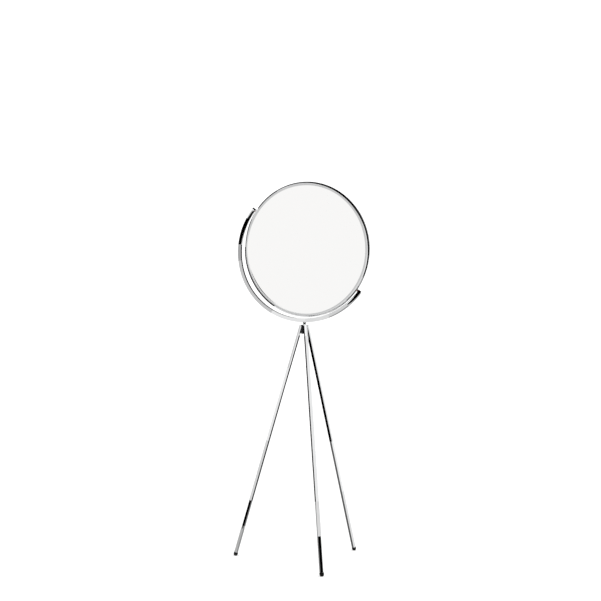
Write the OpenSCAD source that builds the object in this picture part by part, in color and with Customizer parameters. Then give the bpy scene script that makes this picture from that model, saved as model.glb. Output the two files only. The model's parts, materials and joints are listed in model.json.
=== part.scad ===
// Extendable shaving mirror: a round two-sided mirror in a half hoop, on a tripod with telescopic legs.
// Millimetres, +Z up. The floor is Z = 0, the hoop lies in the XZ plane and the mirror faces -Y.
// The origin is the centre of the footprint's bounding box, on the floor.

/* [Mirror] */
// Outer diameter of the rim
rim_d = 210; // [180:1:240]
// Thickness of the rim, front to back
rim_t = 10; // [9:0.5:14]
// Width of the rim's lip over the glass
lip_w = 5.8; // [5.6:0.1:9]
// Wall thickness of the rim
rim_wall = 0.9; // [0.6:0.1:1.1]
// Height of the mirror's centre above the floor
mirror_z = 484.9; // [484:0.1:520]
// Thickness of the plain glass
plain_t = 2; // [1.5:0.1:2.2]
// Thickness of the magnifying glass
magnify_t = 1.5; // [1.2:0.1:1.6]
// Radius of curvature of the magnifying glass
magnify_r = 1200; // [1150:10:2500]
// Tilt of the mirror about its pivots as it stands
head_tilt = -9; // [-20:0.1:20]

/* [Hoop] */
// Radius of the hoop's centre line
hoop_r = 110; // [109.8:0.1:112]
// Outer diameter of the hoop's tube
hoop_d = 6.8; // [6:0.1:7]
// Wall thickness of the hoop's tube
hoop_wall = 0.7; // [0.5:0.1:1.2]
// Distance of the hoop's centre from the stem's axis, towards +X
hoop_offset = 1.8; // [0:0.1:4]
// Angle of the upper pivot, anticlockwise from +X
pivot_angle = 142; // [100:1:179]
// Diameter of the pivot pins
pin_d = 4.3; // [3.6:0.1:5]
// Diameter of the pivot pins' journals in the rim
journal_d = 3; // [2:0.1:3.2]

/* [Stem and hub] */
// Height of the hub's top above the floor
hub_top = 367.9; // [366:0.1:368.4]
// Diameter of the hub
hub_d = 10.6; // [10:0.1:14]
// Height of the hub
hub_h = 14; // [12:0.1:18]
// Diameter of the stem above the hub
stem_d = 4.2; // [3.6:0.1:5]
// Diameter of the stem's journal in the hub
spindle_d = 2.9; // [2.4:0.1:3]

/* [Legs] */
// Outer diameter of the leg tubes
leg_d = 6.4; // [6:0.1:6.6]
// Wall thickness of the leg tubes
leg_wall = 0.45; // [0.4:0.05:0.5]
// Distance of each leg's centre line from the stem at the hub's top
leg_top_r = 5.5; // [5.4:0.1:7]
// Radius of the circle through the feet
foot_circle_r = 113.8; // [100:1:130]
// Outer diameter of the inner rods
rod_d = 4.6; // [4:0.1:4.8]
// Wall thickness of the inner rods
rod_wall = 0.6; // [0.4:0.1:1]
// Outer diameter of the rubber feet
foot_d = 6.8; // [6.4:0.1:8]
// Diameter of the flat that each foot rests on
foot_flat_d = 3.6; // [2:0.1:4]
// Height of the feet's collars above their ball centres
foot_collar = 2.4; // [2:0.1:4]

/* [Hidden] */
$fn = 120;

// Clearances: pieces that run in each other, and pieces fixed together
run_gap = 0.05;
fixed_gap = 0.02;
// How far a cutting or joining shape reaches past its surface
overlap = 1;

// Legs: one along -X and one on each side of +X
LEG_ANGLES = [-60, 60, 180];
foot_ball_z = sqrt(foot_d * foot_d - foot_flat_d * foot_flat_d) / 2;
leg_rise = hub_top - foot_ball_z;
leg_run = foot_circle_r - leg_top_r;
leg_tilt = atan(leg_run / leg_rise);
leg_len = norm([leg_rise, leg_run]);
leg_bore_d = leg_d - 2 * leg_wall;
leg_overrun = 10;
tube_start = foot_collar + 0.3;
bush_len = 12;
bush_slit = 0.8;
leg_plug_len = 18;
rod_top_gap = 15;
rod_start = -0.6;
rod_bore_d = rod_d - 2 * rod_wall;
rod_end = leg_len - leg_plug_len - rod_top_gap;
guide_head = 8;
guide_spigot = 8;
rivet_d = 1.6;
rivet_depth = 6;
rivet_z = hub_top - rivet_depth;
rivet_in = 3.4;
rivet_out = leg_top_r + rivet_depth * tan(leg_tilt) + leg_d / 2;

// The footprint reaches from the foot on -X to the tilted rim on +X
corner_r = 3.8;
foot_reach = foot_circle_r + foot_d / 2;
rim_lean = abs(asin(sin(head_tilt) * sin(pivot_angle)));
rim_reach = (rim_d / 2 - corner_r) * cos(rim_lean) + (rim_t / 2 - corner_r) * sin(rim_lean) + corner_r;
stand_x = (foot_reach - rim_reach - hoop_offset) / 2;
hoop_x = stand_x + hoop_offset;

// Hub, with a counterbore below for the stem's nut
hub_chamfer = 0.4;
hub_bore_d = spindle_d + 2 * run_gap;
counterbore_d = 6.6;
counterbore_h = 4.6;
counterbore_z = hub_top - hub_h + counterbore_h;
washer_t = 0.4;
washer_d = 4.6;
spring_inner_d = 3.5;
spring_outer_d = 6;
spring_rise = 0.5;
spring_t = 0.35;
thread_d = 2.5;
nut_across = 5;
nut_t = 2;
nut_gap = 0.15;
nut_top = counterbore_z - spring_rise - spring_t - nut_gap;
stem_foot = nut_top - nut_t - 0.4;
spindle_foot = counterbore_z - 0.3;
stem_base = hub_top + washer_t + run_gap;
hoop_bottom = mirror_z - hoop_r - hoop_d / 2;
spigot_d = 3;
spigot_top = hoop_bottom + 2.2;

// Hoop ends and pivots; distances run outwards from the mirror's centre
plug_angle = 3;
pin_outer = hoop_r + 2.4;
pin_bevel = 0.5;
pin_hole_d = journal_d + 0.6;
pin_shoulder = rim_d / 2 + 0.55;
pivot_washer_inner = rim_d / 2 + 0.15;
journal_end = rim_d / 2 - 4.6;
socket_inner = rim_d / 2 - 5;
socket_outer = rim_d / 2 - 1.7;
socket_w = 8;
socket_t = 5.2;

// Rim section and the stack of glass inside it
rim_r = rim_d / 2;
half_t = rim_t / 2;
glass_r = rim_r - 5.1;
glass_face = half_t - rim_wall;
seam_lip = 1.5;
seam_lip_t = 0.5;
seam_relief = 0.2;
arc_steps = 12;
spacer_inner = glass_r - 8;
spacer_outer = glass_r - 0.1;

// Depth of the magnifying glass's curve at radius r, counted from its edge
function glass_z(r) = (glass_r * glass_r - r * r) / (2 * magnify_r) - glass_face;

// ---- Placing ----

// The hoop's plane: local X and Y span it, local Z points to the viewer
module at_hoop() {
    translate([hoop_x, 0, mirror_z]) rotate([90, 0, 0]) children();
}

// The mirror's own frame: the hoop's, turned about the pivot axis
module at_mirror() {
    translate([hoop_x, 0, mirror_z])
        rotate(a = head_tilt, v = [cos(pivot_angle), 0, sin(pivot_angle)])
            rotate([90, 0, 0]) children();
}

// Local +Z runs outwards along the pivot axis; side 0 is the upper pivot and 1 the lower
module at_pivot(side) {
    at_hoop() rotate([0, 0, pivot_angle + 180 * side]) rotate([0, 90, 0]) children();
}

// A leg's frame: the origin at the foot's ball centre and +Z up along the leg
module at_leg(i) {
    translate([stand_x, 0, 0]) rotate([0, 0, LEG_ANGLES[i]])
        translate([foot_circle_r, 0, foot_ball_z]) rotate([0, -leg_tilt, 0]) children();
}

module at_stem(z) {
    translate([stand_x, 0, z]) children();
}

module ring(outer_d, inner_d, h) {
    difference() {
        cylinder(d = outer_d, h = h);
        translate([0, 0, -overlap]) cylinder(d = inner_d, h = h + 2 * overlap);
    }
}

// Where the legs' ends are cut off, above the hub's top
module above_hub() {
    at_stem(hub_top) cylinder(r = hub_d, h = 2 * leg_overrun);
}

module rivet_holes(gap) {
    for (angle = LEG_ANGLES)
        at_stem(rivet_z) rotate([0, 0, angle]) translate([rivet_in - gap, 0, 0])
            rotate([0, 90, 0]) cylinder(d = rivet_d + 2 * gap, h = rivet_out - rivet_in + overlap);
}

// ---- Hub ----

module hub_block() {
    color("#16171a") difference() {
        at_stem(hub_top - hub_h) rotate_extrude() polygon([
            [0, 0],
            [hub_d / 2 - hub_chamfer, 0],
            [hub_d / 2, hub_chamfer],
            [hub_d / 2, hub_h - hub_chamfer],
            [hub_d / 2 - hub_chamfer, hub_h],
            [0, hub_h]
        ]);
        at_stem(hub_top - hub_h - overlap) cylinder(d = hub_bore_d, h = hub_h + 2 * overlap);
        at_stem(counterbore_z - counterbore_h - overlap)
            cylinder(d = counterbore_d, h = counterbore_h + overlap);
        for (i = [0 : 2])
            at_leg(i) cylinder(d = leg_d + 2 * fixed_gap, h = leg_len + leg_overrun);
        rivet_holes(fixed_gap);
    }
}

module thrust_washer() {
    color("#e8e6dc") at_stem(hub_top) ring(washer_d, hub_bore_d, washer_t);
}

// A conical spring washer that presses the nut away from the hub
module spring_washer() {
    color("#b9bcc0") at_stem(counterbore_z) rotate_extrude() polygon([
        [spring_outer_d / 2, 0],
        [spring_outer_d / 2, -spring_t],
        [spring_inner_d / 2, -spring_t - spring_rise],
        [spring_inner_d / 2, -spring_rise]
    ]);
}

module leg_rivets() {
    color("#c9ccd0") for (angle = LEG_ANGLES)
        at_stem(rivet_z) rotate([0, 0, angle]) translate([rivet_in, 0, 0])
            rotate([0, 90, 0]) cylinder(d = rivet_d, h = rivet_out - rivet_in);
}

// ---- Legs ----

module leg_tube(i) {
    color("#d5d8dc") difference() {
        at_leg(i) translate([0, 0, tube_start]) cylinder(d = leg_d, h = leg_len + leg_overrun);
        at_leg(i) cylinder(d = leg_bore_d, h = leg_len + 2 * leg_overrun);
        above_hub();
        rivet_holes(fixed_gap);
    }
}

// A solid plug closes the tube's top and takes the rivet
module leg_plug(i) {
    color("#aeb2b7") difference() {
        at_leg(i) translate([0, 0, leg_len - leg_plug_len])
            cylinder(d = leg_bore_d - 2 * fixed_gap, h = leg_plug_len + leg_overrun);
        above_hub();
        rivet_holes(fixed_gap);
    }
}

// A slit nylon bush guides the rod in the tube's lower mouth
module leg_bush(i) {
    color("#e8e6dc") at_leg(i) translate([0, 0, tube_start]) difference() {
        ring(leg_bore_d - 2 * fixed_gap, rod_d + 2 * run_gap, bush_len);
        translate([0, -bush_slit / 2, -overlap]) cube([leg_d, bush_slit, bush_len + 2 * overlap]);
    }
}

module leg_rod(i) {
    color("#c3c7cc") at_leg(i) translate([0, 0, rod_start]) ring(rod_d, rod_bore_d, rod_end - rod_start);
}

// A nylon guide on the rod's top runs in the tube
module rod_guide(i) {
    color("#e8e6dc") at_leg(i) {
        translate([0, 0, rod_end]) cylinder(d = leg_bore_d - 2 * run_gap, h = guide_head);
        translate([0, 0, rod_end - guide_spigot])
            cylinder(d = rod_bore_d - 2 * fixed_gap, h = guide_spigot + overlap);
    }
}

// A rubber cap on the rod's end, flat where it rests
module foot(i) {
    color("#141414") difference() {
        at_leg(i) union() {
            sphere(d = foot_d);
            cylinder(d = foot_d, h = foot_collar);
        }
        at_leg(i) translate([0, 0, rod_start]) cylinder(d = rod_d + 2 * fixed_gap, h = foot_d);
        at_stem(-foot_d) cylinder(r = foot_circle_r + foot_d, h = foot_d);
    }
}

// ---- Stem and hoop ----

// A turned stem: a journal and thread in the hub, and a spigot brazed into the hoop
module stem() {
    color("#d5d8dc") difference() {
        union() {
            at_stem(stem_foot) cylinder(d = thread_d, h = spindle_foot - stem_foot + overlap);
            at_stem(spindle_foot) cylinder(d = spindle_d, h = stem_base - spindle_foot + overlap);
            at_stem(stem_base) cylinder(d = stem_d, h = hoop_bottom - stem_base + overlap);
        }
        at_hoop() rotate_extrude() translate([hoop_r, 0]) circle(d = hoop_d + 2 * fixed_gap);
    }
    color("#d5d8dc") at_stem(stem_base + overlap)
        cylinder(d = spigot_d, h = spigot_top - stem_base - overlap);
}

module stem_nut() {
    color("#b9bcc0") at_stem(nut_top - nut_t) difference() {
        cylinder(d = nut_across / cos(30), h = nut_t, $fn = 6);
        translate([0, 0, -overlap]) cylinder(d = thread_d + 2 * fixed_gap, h = nut_t + 2 * overlap);
    }
}

module pin_space(side) {
    at_pivot(side) translate([0, 0, pin_shoulder])
        cylinder(d = pin_d + 2 * fixed_gap, h = hoop_r + hoop_d / 2 + overlap - pin_shoulder);
}

// Half a turn of tube that ends in the plane of the pivot pins
module hoop_tube() {
    color("#d5d8dc") difference() {
        at_hoop() rotate([0, 0, pivot_angle]) rotate_extrude(angle = 180)
            translate([hoop_r, 0]) difference() {
                circle(d = hoop_d);
                circle(d = hoop_d - 2 * hoop_wall);
            }
        pin_space(0);
        pin_space(1);
        at_stem(hoop_bottom - overlap) cylinder(d = spigot_d + 2 * fixed_gap, h = hoop_d / 2 + overlap);
    }
}

// The plugs close the tube's ends behind the pins
module hoop_plug(side) {
    start = side == 0 ? pivot_angle : pivot_angle + 180 - plug_angle;
    color("#c3c7cc") difference() {
        at_hoop() rotate([0, 0, start]) rotate_extrude(angle = plug_angle)
            translate([hoop_r, 0]) circle(d = hoop_d - 2 * hoop_wall - 2 * fixed_gap);
        pin_space(side);
    }
}

// A shouldered pin across the tube's end, with a bevelled outer end and a journal for the rim
module pivot_pin(side) {
    color("#d5d8dc") at_pivot(side) {
        translate([0, 0, pin_shoulder])
            cylinder(d = pin_d, h = pin_outer - pin_bevel - pin_shoulder);
        translate([0, 0, pin_outer - pin_bevel])
            cylinder(d1 = pin_d, d2 = pin_d - 2 * pin_bevel, h = pin_bevel);
        translate([0, 0, journal_end]) cylinder(d = journal_d, h = pin_shoulder - journal_end + overlap);
    }
}

module pivot_washers() {
    color("#e8e6dc") for (side = [0, 1])
        at_pivot(side) translate([0, 0, pivot_washer_inner])
            ring(pin_d, journal_d + 2 * fixed_gap, pin_shoulder - pivot_washer_inner);
}

// ---- Mirror head ----

// The front half of the rim's section, inset by t from its outer surface
module half_section(t) {
    corner_x = rim_r - corner_r;
    corner_z = half_t - corner_r;
    square_x = rim_r - lip_w - overlap;
    translate([square_x, -overlap]) square([corner_x - square_x, half_t - t + overlap]);
    translate([square_x, -overlap]) square([rim_r - t - square_x, corner_z + overlap]);
    translate([corner_x, corner_z]) circle(r = corner_r - t);
}

// One half of the rim: a rolled wall with a rounded lip over the glass
module rim_half() {
    rotate_extrude() difference() {
        intersection() {
            half_section(0);
            translate([rim_r - lip_w, fixed_gap / 2]) square([lip_w + overlap, half_t]);
        }
        half_section(rim_wall);
    }
}

module pin_holes() {
    for (side = [0, 1])
        rotate([0, 0, pivot_angle + 180 * side]) translate([socket_inner, 0, 0])
            rotate([0, 90, 0]) cylinder(d = pin_hole_d, h = rim_r - socket_inner + overlap);
}

module rim_front() {
    color("#d5d8dc") at_mirror() difference() {
        rim_half();
        pin_holes();
    }
}

// The rear half has a seam lip that presses into the front half
module rim_rear() {
    seam_r = rim_r - rim_wall - fixed_gap;
    color("#d5d8dc") at_mirror() difference() {
        union() {
            mirror([0, 0, 1]) rim_half();
            rotate_extrude() translate([seam_r - seam_lip_t, -seam_lip])
                square([seam_lip_t, 2 * seam_lip]);
            rotate_extrude() translate([seam_r - seam_lip_t, -seam_lip])
                square([seam_lip_t + 2 * fixed_gap, seam_lip - seam_relief]);
        }
        pin_holes();
    }
}

module mirror_plain() {
    color("#f4f4f2") at_mirror() translate([0, 0, glass_face - plain_t]) cylinder(r = glass_r, h = plain_t);
}

// Bent glass, concave towards the back
module mirror_magnifying() {
    radii = [for (i = [0 : arc_steps]) glass_r * i / arc_steps];
    face = [for (r = radii) [r, glass_z(r)]];
    back = [for (i = [arc_steps : -1 : 0]) [radii[i], glass_z(radii[i]) + magnify_t]];
    color("#e9ecee") at_mirror() rotate_extrude() polygon(concat(face, back));
}

// Fills the gap between the edges of the two glasses
module spacer_ring() {
    top = glass_face - plain_t - fixed_gap;
    color("#1c1c1e") at_mirror() rotate_extrude() polygon([
        [spacer_inner, glass_z(spacer_inner) + magnify_t + fixed_gap],
        [spacer_outer, glass_z(spacer_outer) + magnify_t + fixed_gap],
        [spacer_outer, top],
        [spacer_inner, top]
    ]);
}

// A brass bearing block between the two halves of the rim
module pivot_socket(side) {
    color("#b8924a") at_mirror() rotate([0, 0, pivot_angle + 180 * side]) difference() {
        translate([socket_inner, -socket_w / 2, -socket_t / 2])
            cube([socket_outer - socket_inner, socket_w, socket_t]);
        translate([socket_inner - overlap, 0, 0]) rotate([0, 90, 0])
            cylinder(d = journal_d + 2 * run_gap, h = socket_outer - socket_inner + 2 * overlap);
    }
}

hub_block();
thrust_washer();
spring_washer();
leg_rivets();
leg_tube(0);  // leg_tube_1
leg_tube(1);  // leg_tube_2
leg_tube(2);  // leg_tube_3
leg_plug(0);  // leg_plug_1
leg_plug(1);  // leg_plug_2
leg_plug(2);  // leg_plug_3
leg_bush(0);  // leg_bush_1
leg_bush(1);  // leg_bush_2
leg_bush(2);  // leg_bush_3
leg_rod(0);  // leg_rod_1
leg_rod(1);  // leg_rod_2
leg_rod(2);  // leg_rod_3
rod_guide(0);  // rod_guide_1
rod_guide(1);  // rod_guide_2
rod_guide(2);  // rod_guide_3
foot(0);  // foot_1
foot(1);  // foot_2
foot(2);  // foot_3
stem();
stem_nut();
hoop_tube();
hoop_plug(0);  // hoop_plug_upper
hoop_plug(1);  // hoop_plug_lower
pivot_pin(0);  // pivot_pin_upper
pivot_pin(1);  // pivot_pin_lower
pivot_washers();
rim_front();
rim_rear();
mirror_plain();
mirror_magnifying();
spacer_ring();
pivot_socket(0);  // pivot_socket_upper
pivot_socket(1);  // pivot_socket_lower
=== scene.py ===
"""Extendable shaving mirror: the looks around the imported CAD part, in metres, in the part's own frame."""

import json
import math

import bmesh
import bpy
from mathutils import Matrix, Vector


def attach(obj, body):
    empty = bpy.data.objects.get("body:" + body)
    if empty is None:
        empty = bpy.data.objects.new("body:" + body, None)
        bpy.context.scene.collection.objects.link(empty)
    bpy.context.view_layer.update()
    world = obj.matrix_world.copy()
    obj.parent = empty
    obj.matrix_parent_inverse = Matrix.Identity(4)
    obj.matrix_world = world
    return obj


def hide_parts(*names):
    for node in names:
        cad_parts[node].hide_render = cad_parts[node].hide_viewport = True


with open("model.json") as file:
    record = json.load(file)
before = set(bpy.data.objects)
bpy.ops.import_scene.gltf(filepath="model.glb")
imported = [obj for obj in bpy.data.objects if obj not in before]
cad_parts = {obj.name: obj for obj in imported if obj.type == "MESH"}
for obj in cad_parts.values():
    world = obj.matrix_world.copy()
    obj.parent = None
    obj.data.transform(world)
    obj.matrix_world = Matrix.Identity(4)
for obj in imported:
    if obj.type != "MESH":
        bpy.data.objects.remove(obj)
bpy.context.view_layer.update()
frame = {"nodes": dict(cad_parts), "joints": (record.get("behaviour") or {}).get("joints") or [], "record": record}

MM = 0.001
NODES = frame["nodes"]
JOINTS = {joint["name"]: joint for joint in frame["joints"]}
MOUNTS = {mount["name"]: mount for mount in frame["record"]["mounts"]}
LEGS = (1, 2, 3)
ENDS = ("upper", "lower")


# ---- Places, from the frame ----

HUB_TOP = Vector(JOINTS["stem_swivel"]["pos_m"])
CENTRE = Vector(JOINTS["mirror_tilt"]["pos_m"])
PIVOT_AXIS = Vector(JOINTS["mirror_tilt"]["axis"])
PIVOT_ANGLE = math.atan2(PIVOT_AXIS.z, PIVOT_AXIS.x)

# The part's dimensions, which the looks keep to
RIM_R = 105 * MM
RIM_HALF = 5 * MM
RIM_CORNER = 3.8 * MM
RIM_WALL = 0.9 * MM
LIP_R = RIM_R - 5.8 * MM
GLASS_R = 99.9 * MM
GLASS_FACE = RIM_HALF - RIM_WALL
PLAIN_T = 2 * MM
MAGNIFY_T = 1.5 * MM
MAGNIFY_R = 1.2
GLASS_GAP = 0.01 * MM
HEAD_TILT = math.radians(-9)
HOOP_R = 110 * MM
TUBE_R = 3.4 * MM
TUBE_WALL = 0.7 * MM
STEM_R = 2.1 * MM
PIN_R = 2.15 * MM
PIN_OUTER = HOOP_R + 2.4 * MM
PIN_SHOULDER = RIM_R + 0.55 * MM
JOURNAL_R = 1.5 * MM
JOURNAL_END = RIM_R - 4.6 * MM
LEG_R = 3.2 * MM
LEG_BORE_R = 2.75 * MM
LEG_LEN = 380.743 * MM
TUBE_START = 2.7 * MM
ROD_R = 2.3 * MM
ROD_BORE_R = 1.7 * MM
ROD_START = -0.6 * MM
ROD_END = LEG_LEN - 33 * MM
FOOT_R = 3.4 * MM
FOOT_COLLAR = 2.4 * MM
FOOT_BALL_Z = 2.8844 * MM

# Mesh settings
SHARP_ANGLE = math.radians(35)
SAME_POINT = 1e-6
ON_AXIS = 1e-9
RIM_SEGMENTS = 360
GLASS_SEGMENTS = 256
SMALL_SEGMENTS = 64
ROUND_SEGMENTS = 72


def hoop_frame():
    """Local X and Y span the hoop's plane and local Z points to the viewer."""
    return Matrix.Translation(CENTRE) @ Matrix.Rotation(math.pi / 2, 4, "X")


def mirror_frame():
    """The same for the tilted mirror: local Z leaves its plain glass."""
    tilt = Matrix.Rotation(HEAD_TILT, 4, PIVOT_AXIS)
    return Matrix.Translation(CENTRE) @ tilt @ Matrix.Rotation(math.pi / 2, 4, "X")


def pivot_frame(end):
    """Local Z runs outwards along the pivot axis."""
    turn = PIVOT_ANGLE + math.pi * ENDS.index(end)
    return hoop_frame() @ Matrix.Rotation(turn, 4, "Z") @ Matrix.Rotation(math.pi / 2, 4, "Y")


def leg_frame(leg):
    """The origin at the foot's ball centre and local Z up along the leg."""
    ball = Vector(MOUNTS[f"foot_{leg}_rest"]["pos_m"]) + Vector((0, 0, FOOT_BALL_Z))
    up = -Vector(JOINTS[f"leg_{leg}_extend"]["axis"])
    outward = Vector((ball.x - HUB_TOP.x, ball.y - HUB_TOP.y, 0))
    side = up.cross(outward).normalized()
    forward = side.cross(up)
    turn = Matrix((forward, side, up)).transposed().to_4x4()
    return Matrix.Translation(ball) @ turn


# ---- Mesh helpers ----


def new_object(name, verts, faces, place, solid=True):
    """A smooth object with these faces, moved to its place. A solid's faces are turned outwards."""
    mesh = bpy.data.meshes.new(name)
    mesh.from_pydata([tuple(v) for v in verts], [], faces)
    mesh.transform(place)
    tidy = bmesh.new()
    tidy.from_mesh(mesh)
    bmesh.ops.remove_doubles(tidy, verts=tidy.verts, dist=SAME_POINT)
    if solid:
        bmesh.ops.recalc_face_normals(tidy, faces=tidy.faces)
    tidy.to_mesh(mesh)
    tidy.free()
    mesh.shade_smooth()
    mesh.set_sharp_from_angle(angle=SHARP_ANGLE)
    obj = bpy.data.objects.new(name, mesh)
    bpy.context.scene.collection.objects.link(obj)
    return obj


def fillet(profile, radii, steps=5):
    """Rounds the corners of a closed outline of (r, z) points; a radius of 0 keeps a corner."""
    rounded = []
    count = len(profile)
    for i, point in enumerate(profile):
        radius = radii[i]
        corner = Vector(point)
        if radius <= 0:
            rounded.append(tuple(corner))
            continue
        before = (Vector(profile[i - 1]) - corner).normalized()
        after = (Vector(profile[(i + 1) % count]) - corner).normalized()
        half = before.angle(after) / 2
        reach = radius / math.tan(half)
        middle = corner + (before + after).normalized() * (radius / math.sin(half))
        start = corner + before * reach - middle
        end = corner + after * reach - middle
        sweep = start.angle_signed(end)
        for step in range(steps + 1):
            angle = -sweep * step / steps
            turned = Matrix.Rotation(angle, 2) @ start
            rounded.append(tuple(middle + turned))
    return rounded


def lathe(name, profile, place, segments):
    """Turns a closed outline of (r, z) points about local Z."""
    count = len(profile)
    verts = []
    for step in range(segments):
        angle = 2 * math.pi * step / segments
        for r, z in profile:
            verts.append((r * math.cos(angle), r * math.sin(angle), z))
    faces = []
    for step in range(segments):
        here = step * count
        there = (step + 1) % segments * count
        for i in range(count):
            j = (i + 1) % count
            if profile[i][0] < ON_AXIS and profile[j][0] < ON_AXIS:
                continue
            corners = [here + i, here + j, there + j, there + i]
            if profile[i][0] < ON_AXIS:
                corners = [here + i, here + j, there + j]
            elif profile[j][0] < ON_AXIS:
                corners = [here + i, here + j, there + i]
            faces.append(corners)
    return new_object(name, verts, faces, place)


def ring_faces(rings, around, closed=False):
    """Quads between neighbouring rings of as many points each; closed joins the last ring to the first."""
    faces = []
    for ring in range(rings if closed else rings - 1):
        here, there = ring * around, (ring + 1) % rings * around
        for i in range(around):
            j = (i + 1) % around
            faces.append((here + i, here + j, there + j, there + i))
    return faces


def arc(middle, radius, start, end, steps):
    """Points on an arc, between two angles in radians, with both ends."""
    angles = [start + (end - start) * step / steps for step in range(steps + 1)]
    return [(middle[0] + radius * math.cos(angle), middle[1] + radius * math.sin(angle)) for angle in angles]


def finish_piece(obj, body, material, slot, *nodes):
    """A visual piece takes its material, rides on its body and stands for its CAD nodes."""
    obj.data.materials.clear()
    obj.data.materials.append(material)
    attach(obj, body)
    if nodes:
        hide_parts(*nodes)
    return obj


# ---- Materials ----


class Material:
    """A procedural material: a Principled shader with the nodes that vary it."""

    def __init__(self, name, **constants):
        self.material = bpy.data.materials.new(name)
        self.material.use_nodes = True
        self.nodes = self.material.node_tree.nodes
        self.links = self.material.node_tree.links
        self.shader = self.nodes["Principled BSDF"]
        for socket, value in constants.items():
            self.shader.inputs[socket.replace("_", " ")].default_value = value
        self.coords = self.nodes.new("ShaderNodeTexCoord").outputs["Object"]

    def stretched(self, scale):
        mapping = self.nodes.new("ShaderNodeMapping")
        mapping.inputs["Scale"].default_value = scale
        self.links.new(self.coords, mapping.inputs["Vector"])
        return mapping.outputs["Vector"]

    def noise(self, scale, detail=4.0, roughness=0.55, vector=None):
        noise = self.nodes.new("ShaderNodeTexNoise")
        noise.inputs["Scale"].default_value = scale
        noise.inputs["Detail"].default_value = detail
        noise.inputs["Roughness"].default_value = roughness
        self.links.new(vector or self.coords, noise.inputs["Vector"])
        return noise.outputs["Fac"]

    def ramp(self, factor, low, high, start=0.35, end=0.65):
        """Maps a factor from start..end to low..high."""
        ramp = self.nodes.new("ShaderNodeMapRange")
        ramp.inputs["From Min"].default_value = start
        ramp.inputs["From Max"].default_value = end
        ramp.inputs["To Min"].default_value = low
        ramp.inputs["To Max"].default_value = high
        self.links.new(factor, ramp.inputs["Value"])
        return ramp.outputs["Result"]

    def blend(self, factor, first, second):
        mix = self.nodes.new("ShaderNodeMix")
        mix.data_type = "RGBA"
        mix.inputs["A"].default_value = (*first, 1)
        mix.inputs["B"].default_value = (*second, 1)
        self.links.new(factor, mix.inputs["Factor"])
        return mix.outputs["Result"]

    def add(self, first, second):
        total = self.nodes.new("ShaderNodeMath")
        self.links.new(first, total.inputs[0])
        self.links.new(second, total.inputs[1])
        return total.outputs["Value"]

    def drive(self, socket, output):
        self.links.new(output, self.shader.inputs[socket])

    def bump(self, height, strength, distance):
        bump = self.nodes.new("ShaderNodeBump")
        bump.inputs["Strength"].default_value = strength
        bump.inputs["Distance"].default_value = distance
        self.links.new(height, bump.inputs["Height"])
        self.links.new(bump.outputs["Normal"], self.shader.inputs["Normal"])


def chrome(name, tint, rough):
    """Polished chrome: cloudy wipe marks and hairline scratches in the roughness, and a faint ripple."""
    look = Material(name, Metallic=1.0)
    haze = look.ramp(look.noise(60, 5), 0, 1)
    look.drive("Base Color", look.blend(haze, tint, tuple(c * 0.965 for c in tint)))
    smear = look.ramp(look.noise(180, 6, 0.6), rough, rough * 2.6, 0.42, 0.72)
    hairs = look.noise(900, 2, 0.5, look.stretched((1, 1, 0.04)))
    scratches = look.ramp(hairs, 0, 0.05, 0.62, 0.7)
    look.drive("Roughness", look.add(smear, scratches))
    look.bump(look.noise(70, 2), 0.02, 0.2 * MM)
    return look.material


def silvered_glass(name, tint):
    """Silvered glass: nearly perfect, with faint wipe marks and specks of dust."""
    look = Material(name, Metallic=1.0)
    dust = look.noise(1400, 1)
    specks = look.ramp(dust, 0, 1, 0.74, 0.8)
    look.drive("Base Color", look.blend(specks, tint, tuple(c * 0.93 for c in tint)))
    wipes = look.ramp(look.noise(14, 5, 0.6, look.stretched((1, 1, 2.2))), 0.004, 0.03, 0.45, 0.75)
    look.drive("Roughness", look.add(wipes, look.ramp(dust, 0, 0.2, 0.74, 0.8)))
    return look.material


def rubber():
    """Matt black rubber with a little dust and a fine grain."""
    look = Material("foot_rubber", Specular_IOR_Level=0.08)
    dust = look.ramp(look.noise(900, 4), 0, 1, 0.5, 0.8)
    look.drive("Base Color", look.blend(dust, (0.006, 0.006, 0.006), (0.02, 0.019, 0.018)))
    look.drive("Roughness", look.ramp(look.noise(700, 3), 0.5, 0.75))
    look.bump(look.noise(2600, 3), 0.25, 0.05 * MM)
    return look.material


def black_plastic():
    """Moulded black plastic, uneven in its sheen."""
    look = Material("black_plastic", Specular_IOR_Level=0.08)
    patches = look.ramp(look.noise(500, 3), 0, 1)
    look.drive("Base Color", look.blend(patches, (0.004, 0.004, 0.005), (0.011, 0.011, 0.012)))
    look.drive("Roughness", look.ramp(look.noise(350, 4), 0.24, 0.4))
    look.bump(look.noise(2400, 3), 0.12, 0.03 * MM)
    return look.material


def turned_metal(name, light, dark, rough):
    """Metal with fine lines across it, as a lathe leaves them."""
    look = Material(name, Metallic=1.0)
    lines = look.noise(1500, 3, 0.6, look.stretched((0.15, 0.15, 1)))
    look.drive("Base Color", look.blend(look.ramp(lines, 0, 1), light, dark))
    look.drive("Roughness", look.ramp(lines, rough, rough + 0.16))
    look.bump(lines, 0.15, 0.02 * MM)
    return look.material


def nylon():
    """Off-white nylon, slightly translucent."""
    look = Material("nylon", Subsurface_Weight=0.2, Subsurface_Scale=0.5 * MM)
    cloud = look.ramp(look.noise(400, 4), 0, 1)
    look.drive("Base Color", look.blend(cloud, (0.78, 0.76, 0.69), (0.7, 0.68, 0.6)))
    look.drive("Roughness", look.ramp(look.noise(600, 3), 0.4, 0.55))
    look.bump(look.noise(2000, 3), 0.1, 0.03 * MM)
    return look.material


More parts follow.
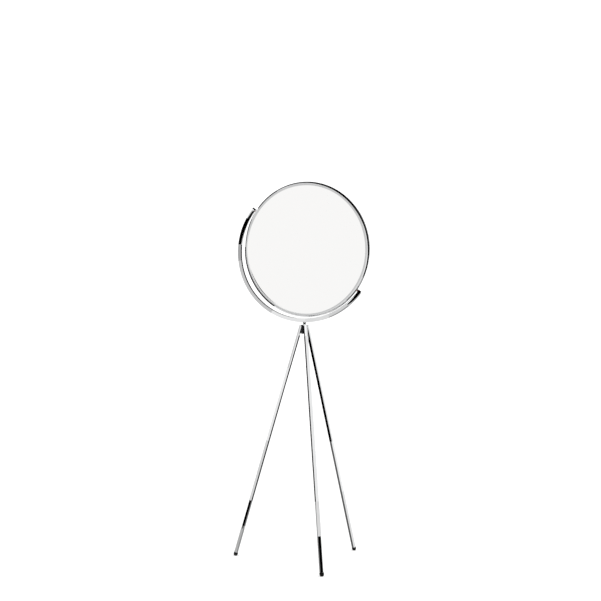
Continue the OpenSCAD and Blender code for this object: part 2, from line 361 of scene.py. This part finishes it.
CHROME = chrome("chrome", (0.57, 0.573, 0.576), 0.022)
ROD_CHROME = chrome("polished_rod", (0.55, 0.553, 0.557), 0.05)
PLAIN_MIRROR = silvered_glass("plain_mirror", (0.935, 0.93, 0.922))
MAGNIFYING_MIRROR = silvered_glass("magnifying_mirror", (0.925, 0.93, 0.928))
RUBBER = rubber()
BLACK = black_plastic()
STEEL = turned_metal("steel", (0.68, 0.69, 0.7), (0.5, 0.51, 0.52), 0.22)
BRASS = turned_metal("brass", (0.75, 0.56, 0.25), (0.6, 0.43, 0.17), 0.25)
BRAZE = turned_metal("braze", (0.2, 0.2, 0.2), (0.14, 0.14, 0.14), 0.3)
NYLON = nylon()
SLOT_LOOKS = {
    "chrome": CHROME,
    "polished_rod": ROD_CHROME,
    "steel": STEEL,
    "foot_rubber": RUBBER,
    "black_plastic": BLACK,
    "nylon": NYLON,
    "plain_mirror": PLAIN_MIRROR,
    "magnifying_mirror": MAGNIFYING_MIRROR,
    "brass": BRASS,
}


def dress_cad_nodes():
    """Every CAD node gets its slot's material, for those that stay in sight."""
    for part in frame["record"]["subparts"]:
        node = NODES[part["node"]]
        for slot in node.material_slots:
            slot.material = SLOT_LOOKS[part["material_slot"]]


# ---- Mirror head ----


def rim_outline(side):
    """Half of the rim's section: a rolled wall from the seam, round the corner and over the glass."""
    seam = 0.06 * MM
    seam_edge = 0.12 * MM
    lip_round = 0.42 * MM
    right = math.pi / 2
    corner = (RIM_R - RIM_CORNER, RIM_HALF - RIM_CORNER)
    lip = (LIP_R + lip_round, RIM_HALF - lip_round)
    outline = [(RIM_R - seam_edge, seam), (RIM_R, seam + seam_edge)]
    outline += arc(corner, RIM_CORNER, 0, right, 14)
    outline += arc(lip, lip_round, right, math.pi, 7)[1:]
    outline.append((LIP_R, GLASS_FACE))
    outline += arc(corner, RIM_CORNER - RIM_WALL, right, 0, 14)
    outline.append((RIM_R - RIM_WALL, seam))
    return [(r, side * z) for r, z in outline]


def make_rim():
    """The rim's two halves, which meet at the seam."""
    for name, side in (("rim_front", 1), ("rim_rear", -1)):
        half = lathe(f"{name}_shell", rim_outline(side), mirror_frame(), RIM_SEGMENTS)
        finish_piece(half, "mirror", CHROME, "chrome", name)


def make_seam_lip():
    """A steel lip inside the rim, which shows as a dark line at the bottom of the seam."""
    outer = RIM_R - RIM_WALL - 0.02 * MM
    inner = outer - 0.5 * MM
    reach = 1.4 * MM
    outline = [(outer, -reach), (outer, reach), (inner, reach), (inner, -reach)]
    lip = lathe("rim_seam_lip", outline, mirror_frame(), RIM_SEGMENTS)
    finish_piece(lip, "mirror", STEEL, "chrome")


def make_plain_glass():
    """The flat glass, which faces forward."""
    edge = 0.3 * MM
    face = GLASS_FACE - GLASS_GAP
    back = GLASS_FACE - PLAIN_T
    outline = fillet([(0, back), (GLASS_R, back), (GLASS_R, face), (0, face)], [0, edge, edge, 0])
    glass = lathe("plain_glass", outline, mirror_frame(), GLASS_SEGMENTS)
    finish_piece(glass, "mirror", PLAIN_MIRROR, "plain_mirror", "mirror_plain")


def make_magnifying_glass():
    """A shallow bowl of even thickness, which faces back."""
    rings = 40
    radii = [GLASS_R * i / rings for i in range(rings + 1)]
    face = [(r, (GLASS_R**2 - r**2) / (2 * MAGNIFY_R) - GLASS_FACE + GLASS_GAP) for r in radii]
    back = [(r, z + MAGNIFY_T) for r, z in reversed(face)]
    glass = lathe("magnifying_glass", face + back, mirror_frame(), GLASS_SEGMENTS)
    finish_piece(glass, "mirror", MAGNIFYING_MIRROR, "magnifying_mirror", "mirror_magnifying")


# ---- Hoop, pins and stem ----


def hoop_rings():
    """Rings along the hoop as (angle from its upper end, radius of the ring)."""
    along = 240
    bore = TUBE_R - TUBE_WALL
    bore_depth = 4 * MM
    edge = 0.2 * MM
    edge_cut = 0.3 * edge
    steps_in_mouth = 3
    # From the bore over the rounded edge to the outside, by distance from the hoop's end
    mouth = [(bore_depth, bore), (edge, bore), (0, bore + edge), (0, TUBE_R - edge)]
    mouth += [(edge_cut, TUBE_R - edge_cut), (edge, TUBE_R)]
    rings = [(distance / HOOP_R, radius) for distance, radius in mouth]
    rings += [(math.pi * i / along, TUBE_R) for i in range(steps_in_mouth, along + 1 - steps_in_mouth)]
    return rings + [(math.pi - distance / HOOP_R, radius) for distance, radius in reversed(mouth)]


def make_hoop():
    """Half a turn of tube with a rounded edge at each end, closed behind its plugs."""
    around = SMALL_SEGMENTS
    rings = hoop_rings()
    verts = []
    for turn, radius in rings:
        angle = PIVOT_ANGLE + turn
        for i in range(around):
            phi = 2 * math.pi * i / around
            reach = HOOP_R + radius * math.cos(phi)
            verts.append((reach * math.cos(angle), reach * math.sin(angle), radius * math.sin(phi)))
    faces = ring_faces(len(rings), around)
    last = (len(rings) - 1) * around
    faces += [tuple(range(around)), tuple(range(last, last + around))]
    hoop = new_object("hoop_bow", verts, faces, hoop_frame())
    finish_piece(hoop, "hoop", CHROME, "chrome", "hoop_tube")


def make_pin(end):
    """A shouldered pin: a journal towards the mirror, and a head with a domed outer end."""
    dome = 0.5 * MM
    journal_edge = 0.2 * MM
    head_edge = 0.15 * MM
    outline = [(0, JOURNAL_END), (JOURNAL_R - journal_edge, JOURNAL_END)]
    outline += [(JOURNAL_R, JOURNAL_END + journal_edge), (JOURNAL_R, PIN_SHOULDER)]
    outline += [(PIN_R - head_edge, PIN_SHOULDER), (PIN_R, PIN_SHOULDER + head_edge)]
    outline += arc((PIN_R - dome, PIN_OUTER - dome), dome, 0, math.pi / 2, 8)
    outline.append((0, PIN_OUTER))
    pin = lathe(f"pivot_pin_{end}_turned", outline, pivot_frame(end), SMALL_SEGMENTS)
    finish_piece(pin, "hoop", CHROME, "chrome", f"pivot_pin_{end}")


def make_stem():
    """The turned stem: thread, journal, shoulder with a small chamfer, and the spigot in the hoop."""
    thread_r = 1.25 * MM
    journal_r = 1.45 * MM
    foot = HUB_TOP.z - 12.8 * MM
    journal = HUB_TOP.z - 9.7 * MM
    shoulder = HUB_TOP.z + 0.45 * MM
    top = CENTRE.z - HOOP_R - TUBE_R + 0.9 * MM
    outline = [(0, foot), (thread_r, foot), (thread_r, journal), (journal_r, journal)]
    outline += [(journal_r, shoulder), (STEM_R, shoulder), (STEM_R, top), (0, top)]
    radii = [0, 0.2 * MM, 0, 0.1 * MM, 0, 0.2 * MM, 0, 0]
    place = Matrix.Translation((HUB_TOP.x, HUB_TOP.y, 0))
    stem = lathe("stem_turned", fillet(outline, radii), place, SMALL_SEGMENTS)
    finish_piece(stem, "hoop", CHROME, "chrome", "stem")


def hoop_underside(x, y):
    """The height of the hoop's underside, at a place counted from the stem."""
    out = math.sqrt(TUBE_R**2 - y**2)
    return CENTRE.z - math.sqrt((HOOP_R + out) ** 2 - (x - (CENTRE.x - HUB_TOP.x)) ** 2)


def make_stem_braze():
    """A fillet of braze where the stem meets the hoop's underside."""
    around = ROUND_SEGMENTS
    steps = 6
    reach = 0.8 * MM
    overlap = 0.02 * MM
    root = Vector((0, 0, 0.3 * MM))
    verts = []
    for i in range(around):
        angle = 2 * math.pi * i / around
        direction = Vector((math.cos(angle), math.sin(angle)))
        near = direction * (STEM_R - overlap)
        far = direction * (STEM_R + reach)
        corner = Vector((near.x, near.y, hoop_underside(near.x, near.y)))
        start = corner - Vector((0, 0, reach))
        end = Vector((far.x, far.y, hoop_underside(far.x, far.y) + overlap))
        for step in range(steps + 1):
            t = step / steps
            verts.append(start * (1 - t) ** 2 + corner * (2 * t * (1 - t)) + end * t**2)
        verts.append(corner + root)
    faces = ring_faces(around, steps + 2, closed=True)
    place = Matrix.Translation((HUB_TOP.x, HUB_TOP.y, 0))
    finish_piece(new_object("stem_braze", verts, faces, place), "hoop", BRAZE, "chrome")


# ---- Legs ----


def make_leg_tube(leg):
    """A thin tube cut level at the hub's top, with a rounded lower mouth."""
    place = leg_frame(leg)
    around = ROUND_SEGMENTS
    edge = 0.12 * MM
    low_ring = 20 * MM
    top_ring = 8 * MM
    up = (place.to_3x3() @ Vector((0, 0, 1))).normalized()

    def ring(radius, height):
        angles = [2 * math.pi * i / around for i in range(around)]
        return [place @ Vector((radius * math.cos(a), radius * math.sin(a), height)) for a in angles]

    def level_ring(radius, depth):
        return [point + up * ((HUB_TOP.z - depth - point.z) / up.z) for point in ring(radius, LEG_LEN)]

    rings = [ring(LEG_BORE_R, TUBE_START + low_ring), ring(LEG_BORE_R, TUBE_START + edge)]
    rings += [ring(LEG_BORE_R + edge, TUBE_START), ring(LEG_R - edge, TUBE_START)]
    rings += [ring(LEG_R, TUBE_START + edge), level_ring(LEG_R, 0)]
    rings += [level_ring(LEG_BORE_R, 0), level_ring(LEG_BORE_R, top_ring)]
    verts = [point for points in rings for point in points]
    faces = ring_faces(len(rings), around, closed=True)
    tube = new_object(f"leg_{leg}_tube", verts, faces, Matrix.Identity(4))
    finish_piece(tube, "tripod", CHROME, "chrome", f"leg_tube_{leg}")


def make_leg_rod(leg):
    """The tube that slides in the leg, and carries its foot."""
    outline = [(ROD_BORE_R, ROD_START), (ROD_R, ROD_START), (ROD_R, ROD_END), (ROD_BORE_R, ROD_END)]
    rod = lathe(f"leg_{leg}_inner_rod", outline, leg_frame(leg), SMALL_SEGMENTS)
    finish_piece(rod, f"leg_{leg}", ROD_CHROME, "polished_rod", f"leg_rod_{leg}")


def foot_outline():
    """A ball end, a shallow parting line and a rounded collar round the rod."""
    lip = 0.5 * MM
    parting = 1.0 * MM
    groove = 0.1 * MM
    outline = arc((0, 0), FOOT_R, -math.pi / 2, 0, 24)
    outline += [(FOOT_R, parting - groove), (FOOT_R - groove, parting), (FOOT_R, parting + groove)]
    outline += arc((FOOT_R - lip, FOOT_COLLAR - lip), lip, 0, math.pi / 2, 5)
    return outline + [(ROD_R, FOOT_COLLAR), (ROD_R, ROD_START), (0, ROD_START)]


def cut_at_floor(obj):
    """Cuts off what is below the floor and closes the mesh there."""
    cut = bmesh.new()
    cut.from_mesh(obj.data)
    everything = cut.verts[:] + cut.edges[:] + cut.faces[:]
    bmesh.ops.bisect_plane(cut, geom=everything, plane_co=(0, 0, 0), plane_no=(0, 0, -1), clear_outer=True)
    bmesh.ops.contextual_create(cut, geom=[edge for edge in cut.edges if edge.is_boundary])
    bmesh.ops.recalc_face_normals(cut, faces=cut.faces)
    cut.to_mesh(obj.data)
    cut.free()
    obj.data.set_sharp_from_angle(angle=SHARP_ANGLE)


def make_foot(leg):
    """A moulded rubber cap that stands flat on the floor."""
    foot = lathe(f"foot_{leg}_cap", foot_outline(), leg_frame(leg), ROUND_SEGMENTS)
    cut_at_floor(foot)
    finish_piece(foot, f"leg_{leg}", RUBBER, "foot_rubber", f"foot_{leg}")


# ---- Stage, light and camera ----

CAMERA_AZIMUTH = math.radians(16.8)
CAMERA_ROLL = math.radians(0.18)
CAMERA_DISTANCE = 1.412
CAMERA_HEIGHT = 0.298
LENS_MM = 54.06
SENSOR_MM = 36
SHIFT_X = -0.0064
SHIFT_Y = 0.1148


def seen_from_camera(x, toward, z):
    """A point given to the viewer's right, towards the camera and up, counted from the stem's foot."""
    right = Vector((math.cos(CAMERA_AZIMUTH), math.sin(CAMERA_AZIMUTH), 0))
    front = Vector((math.sin(CAMERA_AZIMUTH), -math.cos(CAMERA_AZIMUTH), 0))
    return Vector((HUB_TOP.x, HUB_TOP.y, z)) + right * x + front * toward


def make_stage():
    """A white floor. Reflections see the studio's light below the horizon instead of it."""
    size = 6
    corners = [(-size, -size, 0), (size, -size, 0), (size, size, 0), (-size, size, 0)]
    floor = new_object("floor", corners, [(0, 1, 2, 3)], Matrix.Identity(4))
    white = (0.93, 0.93, 0.93, 1)
    paper = Material("floor_paper", Base_Color=white, Roughness=0.9, Specular_IOR_Level=0.0)
    floor.data.materials.append(paper.material)
    floor.visible_glossy = False


def make_card(name, verts, faces, value=0.0):
    """A studio card of an even brightness. Only reflections see it, and only from its front."""
    card = new_object(name, verts, faces, Matrix.Identity(4), solid=False)
    look = Material(f"{name}_card", Base_Color=(0, 0, 0, 1), Specular_IOR_Level=0.0,
                    Emission_Color=(1, 1, 1, 1), Emission_Strength=value)
    clear = look.nodes.new("ShaderNodeBsdfTransparent")
    mix = look.nodes.new("ShaderNodeMixShader")
    back = look.nodes.new("ShaderNodeNewGeometry").outputs["Backfacing"]
    look.links.new(back, mix.inputs["Fac"])
    look.links.new(look.shader.outputs["BSDF"], mix.inputs[1])
    look.links.new(clear.outputs["BSDF"], mix.inputs[2])
    look.links.new(mix.outputs["Shader"], look.nodes["Material Output"].inputs["Surface"])
    card.data.materials.append(look.material)
    card.visible_camera = False
    card.visible_diffuse = False
    card.visible_shadow = False


def make_swept_card(name, centre_at, out_at, stations, radius, value=0.0):
    """A card round a line, between stations of (along, start, end); its front is the inner side.

    centre_at(along) is on the line, and out_at(along, across) leaves the line towards the card.
    """
    verts = []
    faces = []
    across = 12
    along = 10
    for (first, start_1, end_1), (last, start_2, end_2) in zip(stations, stations[1:]):
        for i in range(along + 1):
            place = first + (last - first) * i / along
            start = start_1 + (start_2 - start_1) * i / along
            end = end_1 + (end_2 - end_1) * i / along
            centre = centre_at(place)
            for j in range(across + 1):
                verts.append(centre + out_at(place, start + (end - start) * j / across) * radius)
                if i == along or j == across:
                    continue
                a = len(verts) - 1
                faces.append((a, a + 1, a + across + 2, a + across + 1))
    out = out_at(stations[0][0], stations[0][1])
    edges = [verts[i] - verts[0] for i in (1, across + 1)]
    if edges[0].cross(edges[1]).dot(out) > 0:
        faces = [face[::-1] for face in faces]
    make_card(name, verts, faces, value)


def make_leg_card(name, leg, stations, value=0.0, radius=6 * MM):
    """A card curved round a leg. Stations are millimetres up the leg and two directions round it.

    Directions are degrees from the camera's, positive to the viewer's right.
    """
    place = leg_frame(leg)
    axis = place.to_3x3() @ Vector((0, 0, 1))
    front = Vector((math.sin(CAMERA_AZIMUTH), -math.cos(CAMERA_AZIMUTH), 0))
    front = (front - axis * front.dot(axis)).normalized()
    right = axis.cross(front)

    def centre_at(height):
        return place @ Vector((0, 0, height * MM))

    def out_at(_, direction):
        return front * math.cos(math.radians(direction)) + right * math.sin(math.radians(direction))

    make_swept_card(name, centre_at, out_at, stations, radius, value)


def make_hoop_card(name, stations, value=0.0, radius=5.5 * MM):
    """A card curved round the hoop's tube. Stations are degrees round the hoop and round the tube.

    Degrees round the tube count from the hoop's front, positive towards its middle.
    """
    place = hoop_frame()

    def centre_at(angle):
        angle = math.radians(angle)
        return place @ Vector((HOOP_R * math.cos(angle), HOOP_R * math.sin(angle), 0))

    def out_at(angle, direction):
        angle, turn = math.radians(angle), math.radians(direction)
        inward = -math.sin(turn)
        local = Vector((inward * math.cos(angle), inward * math.sin(angle), math.cos(turn)))
        return place.to_3x3() @ local

    make_swept_card(name, centre_at, out_at, stations, radius, value)


def make_rim_card(name, stations, value=0.0, radius=107.5 * MM):
    """A band round the rim. Stations are degrees round the mirror and two heights in millimetres."""
    place = mirror_frame()

    def out_at(angle, height):
        angle = math.radians(angle)
        return place.to_3x3() @ Vector((math.cos(angle), math.sin(angle), height * MM / radius))

    make_swept_card(name, lambda _: place.translation, out_at, stations, radius, value)


def make_pin_card(name, end, start, stop, value=0.0, radius=3.4 * MM):
    """A card curved round a pivot pin, between two directions in degrees from the hoop's front."""
    place = hoop_frame()
    turn = PIVOT_ANGLE + math.pi * ENDS.index(end)
    out = Vector((math.cos(turn), math.sin(turn), 0))
    side = Vector((math.sin(turn), -math.cos(turn), 0))

    def out_at(_, direction):
        angle = math.radians(direction)
        return place.to_3x3() @ (side * math.sin(angle) + Vector((0, 0, math.cos(angle))))

    stations = [(RIM_R + 1.5 * MM, start, stop), (PIN_OUTER + 1 * MM, start, stop)]
    make_swept_card(name, lambda reach: place @ (out * reach), out_at, stations, radius, value)


def make_stem_card(name, value, radius=3.2 * MM):
    """A band round the front of the stem, between the hub and the hoop."""
    stations = [(HUB_TOP.z + 0.6 * MM, -130, 130), (CENTRE.z - HOOP_R - TUBE_R, -130, 130)]

    def out_at(_, direction):
        turn = CAMERA_AZIMUTH + math.radians(direction)
        return Vector((math.sin(turn), -math.cos(turn), 0))

    make_swept_card(name, lambda z: Vector((HUB_TOP.x, HUB_TOP.y, z)), out_at, stations, radius, value)


class Sky:
    """White light all round, with softer and darker areas that only reflections see."""

    def __init__(self, strength):
        world = bpy.data.worlds.new("studio")
        world.use_nodes = True
        bpy.context.scene.world = world
        self.nodes = world.node_tree.nodes
        self.links = world.node_tree.links
        self.background = self.nodes["Background"]
        coords = self.nodes.new("ShaderNodeTexCoord").outputs["Generated"]
        split = self.nodes.new("ShaderNodeSeparateXYZ")
        self.links.new(coords, split.inputs[0])
        # Azimuth from the camera's side, positive to the viewer's right, and elevation, in degrees
        away = self.math("MULTIPLY", split.outputs["Y"], -1)
        azimuth = self.math("DEGREES", self.math("ARCTAN2", split.outputs["X"], away))
        turned = self.math("SUBTRACT", azimuth, math.degrees(CAMERA_AZIMUTH))
        self.azimuth = self.math("WRAP", turned, 180, -180)
        self.elevation = self.math("DEGREES", self.math("ARCSINE", split.outputs["Z"]))
        self.value = strength

    def math(self, operation, *values):
        node = self.nodes.new("ShaderNodeMath")
        node.operation = operation
        for socket, value in zip(node.inputs, values):
            if isinstance(value, (int, float)):
                socket.default_value = value
            else:
                self.links.new(value, socket)
        return node.outputs["Value"]

    def window(self, angle, low, high, soft):
        """1 inside low..high and 0 outside, over a soft edge."""
        parts = []
        for start, end in ((low - soft, low + soft), (high + soft, high - soft)):
            node = self.nodes.new("ShaderNodeMapRange")
            node.interpolation_type = "SMOOTHSTEP"
            node.inputs["From Min"].default_value = start
            node.inputs["From Max"].default_value = end
            self.links.new(angle, node.inputs["Value"])
            parts.append(node.outputs["Result"])
        return self.math("MULTIPLY", *parts)

    def area(self, value, azimuths, elevations, soft=4):
        """Gives the part of the sky between two azimuths and two elevations another brightness."""
        across = self.window(self.azimuth, *azimuths, soft)
        upright = self.window(self.elevation, *elevations, soft)
        inside = self.math("MULTIPLY", across, upright)
        change = self.math("MULTIPLY", inside, self.math("SUBTRACT", value, self.value))
        self.value = self.math("ADD", self.value, change)

    def finish(self, plain):
        """Only glossy rays see the areas; the rest of the light is even."""
        glossy = self.nodes.new("ShaderNodeLightPath").outputs["Is Glossy Ray"]
        change = self.math("MULTIPLY", glossy, self.math("SUBTRACT", self.value, plain))
        self.links.new(self.math("ADD", plain, change), self.background.inputs["Strength"])
        self.background.inputs["Color"].default_value = (1, 1, 1, 1)
        bpy.context.scene.view_settings.view_transform = "Standard"


def make_sky():
    """The second area is what the mirror's face shows; the others tone the chrome below and to the right."""
    sky = Sky(1.72)
    sky.area(1.21, (-200, 200), (-100, -30), 12)
    sky.area(1.0, (-84, -4), (-26, 22), 8)
    sky.area(1.09, (55, 152), (3, 30), 5)
    sky.area(0.91, (20, 172), (-70, -24), 6)
    sky.finish(1.3)


# The cards draw the black stretches, the dark lines and the greys on the chrome. The number after a card's
# stations is its brightness, of which chrome shows about 0.57. A card without one is black.


def make_leg_cards():
    make_leg_card("card_leg_1_foot", 1, [(-6, -46, 68), (54, -46, 68)])
    make_leg_card("card_leg_1_shade", 1, [(-6, -130, -46), (54, -130, -46)], 0.36)
    make_leg_card("card_leg_1_low", 1, [(54, -120, -56), (105, -120, -50)], 0.48)
    make_leg_card("card_leg_1_side", 1, [(105, -140, -38), (362, -160, -34)], 0.024)
    make_leg_card("card_leg_1_low_pale", 1, [(54, -56, 150), (105, -50, 150)], 1.21)
    make_leg_card("card_leg_1_pale", 1, [(105, -38, 150), (362, -34, 150)], 1.45)
    make_leg_card("card_leg_1_top", 1, [(362, -135, -48), (380, -135, -48)])
    make_leg_card("card_leg_2_top", 2, [(187, -178, 16), (378, -178, 16)])
    make_leg_card("card_leg_2_low", 2, [(1, -150, -6), (187, -150, -6)], 0.19)
    make_leg_card("card_leg_2_low_pale", 2, [(1, -6, 150), (100, -6, 150)], 1.33)
    make_leg_card("card_leg_2_mid_pale", 2, [(100, -6, 150), (187, -6, 150)], 1.55)
    make_leg_card("card_leg_2_pale", 2, [(187, 16, 150), (378, 16, 150)], 1.51)
    make_leg_card("card_leg_3_foot", 3, [(0, -130, 28), (42.5, -130, 28)], 0.75)
    make_leg_card("card_leg_3_foot_line", 3, [(0, 28, 66), (42.5, 28, 66)], 0.36)
    make_leg_card("card_leg_3_band_end", 3, [(42.5, -78, 26), (47, -78, 26)], 0.23)
    make_leg_card("card_leg_3_band", 3, [(47, -78, 26), (90, -78, 26)])
    make_leg_card("card_leg_3_shade", 3, [(47, 26, 64), (90, 26, 64)], 0.3)
    make_leg_card("card_leg_3_side", 3, [(90, 18, 76), (280, 18, 84), (364, 42, 120)], 0.024)
    make_leg_card("card_leg_3_low_pale", 3, [(90, -130, 18), (190, -130, 18)], 1.15)
    make_leg_card("card_leg_3_pale", 3, [(190, -130, 18), (310, -130, 26)], 1.45)
    make_leg_card("card_leg_3_top", 3, [(366, 128, 134), (380, 8, 134)])


def make_hoop_cards():
    near = 4.3 * MM
    make_hoop_card("card_hoop_line", [(142.6, 24, 135), (151, -8, 130)])
    make_hoop_card("card_hoop_left", [(151, -58, 100), (173.5, -125, 62)])
    inner = [(173.5, 52, 105), (205, 46, 100), (232, 46, 92), (262, 62, 74)]
    make_hoop_card("card_hoop_inner", inner, 0.073, near)
    make_hoop_card("card_hoop_grey", [(173.5, -95, 52), (187, -95, 48)], 0.67, near)
    make_hoop_card("card_hoop_pale", [(187, -95, 48), (240, -95, 46)], 0.97, near)
    make_hoop_card("card_hoop_bottom", [(240, -95, 46), (270, -95, 60)], 1.39, near)
    make_hoop_card("card_hoop_turn", [(270, -95, 60), (290, -75, 60)], 1.27, near)
    make_hoop_card("card_hoop_lower", [(290, -45, 60), (308, -30, 60)], 1.11, near)
    make_hoop_card("card_hoop_outer", [(282, -95, -45), (308, -95, -30)], 0.54)
    make_hoop_card("card_hoop_right", [(308, -24, 16), (313, -46, 36), (325, -60, 85)])


def make_rim_cards():
    make_rim_card("card_rim_right", [(-26, -3, 6), (0, -3, 10), (20, -3, 11), (36, -3, 16)], 0.024)
    make_rim_card("card_rim_upper", [(36, -3, 16), (52, -3, 16), (66, -2, 14)])
    make_rim_card("card_rim_top", [(66, -2, 14), (84, -2, 11)], 0.036)
    make_rim_card("card_rim_peak", [(84, -2, 11), (116, 1, 8)], 0.18)
    make_rim_card("card_rim_pivot", [(116, 1, 10), (139, 1, 10)], 0.024)
    make_rim_card("card_rim_left", [(175, 0.2, 14), (236, 0.2, 14)], 0.06)
    make_rim_card("card_rim_lower", [(290, -3, 2), (336, -3, 3.6)], 0.36)


def make_stem_and_pin_cards():
    near = 2.9 * MM
    make_stem_card("card_stem", 0.1)
    make_pin_card("card_pin_upper", "upper", -10, 172, 0.0, near)
    make_pin_card("card_pin_upper_low", "upper", -120, -10, 0.36, near)
    make_pin_card("card_pin_lower", "lower", -140, 140)


def make_camera():
    camera_data = bpy.data.cameras.new("camera")
    camera = bpy.data.objects.new("camera", camera_data)
    bpy.context.scene.collection.objects.link(camera)
    camera_data.sensor_width = SENSOR_MM
    camera_data.lens = LENS_MM
    camera_data.shift_x = SHIFT_X
    camera_data.shift_y = SHIFT_Y
    camera.location = seen_from_camera(0, CAMERA_DISTANCE, CAMERA_HEIGHT)
    aim = Matrix.Rotation(CAMERA_AZIMUTH, 3, "Z") @ Matrix.Rotation(math.pi / 2, 3, "X")
    camera.rotation_euler = (aim @ Matrix.Rotation(CAMERA_ROLL, 3, "Z")).to_euler()
    bpy.context.scene.camera = camera


dress_cad_nodes()
make_rim()
make_seam_lip()
make_plain_glass()
make_magnifying_glass()
make_hoop()
make_stem()
make_stem_braze()
for end in ENDS:
    make_pin(end)
for leg in LEGS:
    make_leg_tube(leg)
    make_leg_rod(leg)
    make_foot(leg)
make_stage()
make_leg_cards()
make_hoop_cards()
make_rim_cards()
make_stem_and_pin_cards()
make_sky()
make_camera()
